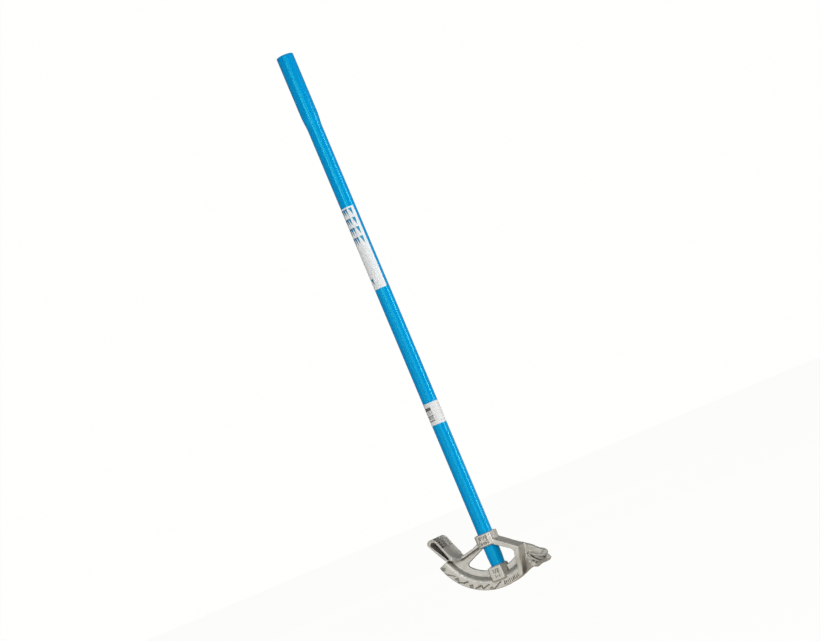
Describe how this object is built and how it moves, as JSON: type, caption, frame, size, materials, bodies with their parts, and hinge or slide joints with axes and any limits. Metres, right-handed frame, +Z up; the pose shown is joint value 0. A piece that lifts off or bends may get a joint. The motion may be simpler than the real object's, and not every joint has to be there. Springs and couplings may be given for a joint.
{
  "type": "conduit bender",
  "caption": "Hand bender for half-inch EMT conduit: cast aluminium shoe with hook, foot pedal and degree marks on a blue steel pipe handle with a swaged grip end.",
  "frame": {"origin": "on the handle's axis at the lowest point of the shoe's rim, which is the point of the conduit's centreline straight under the handle", "axes": "+Z up along the handle, +X towards the conduit hook, Y across the head; the hook is open towards -Y"},
  "size_m": [0.1876, 0.052, 0.985],
  "materials": {
    "cast_aluminium": "as-cast, softly tumbled, with ground faces on the right strut and leg",
    "blue_enamel": "gloss enamel over steel pipe",
    "instruction_print": "white vinyl label with blue pennants and grey lines",
    "barcode_print": "white vinyl label with grey bars"
  },
  "bodies": {
    "head": {"head_casting": "cast_aluminium"},
    "handle": {"handle_pipe": "blue_enamel", "instruction_label": "instruction_print", "barcode_label": "barcode_print"}
  },
  "joints": [
    {"name": "handle_unscrew", "type": "slide", "parent": "head", "child": "handle", "axis": [0, 0, 1], "range_m": [0, 0.1]}
  ]
}
